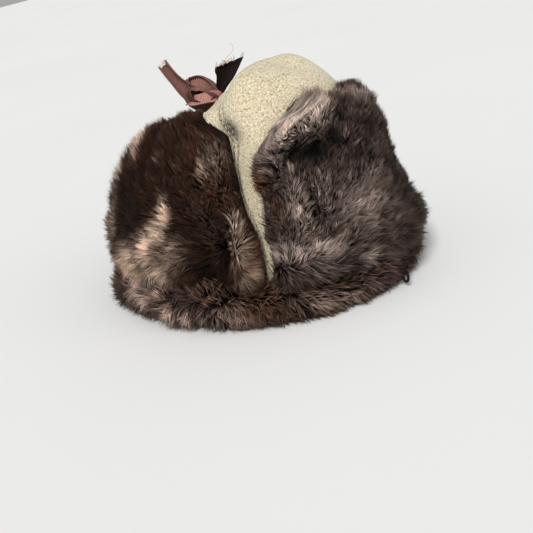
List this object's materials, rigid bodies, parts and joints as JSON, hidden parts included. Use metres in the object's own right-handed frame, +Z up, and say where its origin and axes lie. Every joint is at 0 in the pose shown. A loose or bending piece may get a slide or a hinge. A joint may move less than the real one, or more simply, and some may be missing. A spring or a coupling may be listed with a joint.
{
  "type": "fur hat with turned-up flaps",
  "caption": "Winter hat with a four-gore felt crown, deep fur flaps turned up and tied on top with ribbon, and a fur roll around the head opening.",
  "frame": {"origin": "on the resting plane, under the middle of the hat's outline", "axes": "+Z up, -Y towards the front of the hat, -X towards the wearer's right"},
  "size_m": [0.2192, 0.255, 0.1722],
  "materials": {
    "felt": "beige wool felt, short nap",
    "front_fur": "dark grey-brown fur with mauve-grey tips",
    "ear_fur": "dark brown fur with a paler tan patch",
    "roll_fur": "dark brown fur with grey tips",
    "ribbon": "brown ribbed ribbon",
    "cord": "thin black cord"
  },
  "bodies": {
    "root": {"crown_front": "felt", "crown_right": "felt", "crown_back": "felt", "crown_left": "felt", "rim_roll": "roll_fur", "edge_loop": "cord", "front_flap": "front_fur", "neck_flap": "ear_fur", "ear_flap_right": "ear_fur", "ear_flap_left": "ear_fur", "tie_knot": "ribbon", "tie_strap_right": "ribbon", "tie_strap_left": "ribbon", "tie_tail_back": "ribbon", "tie_tail_front": "ribbon"}
  },
  "joints": []
}
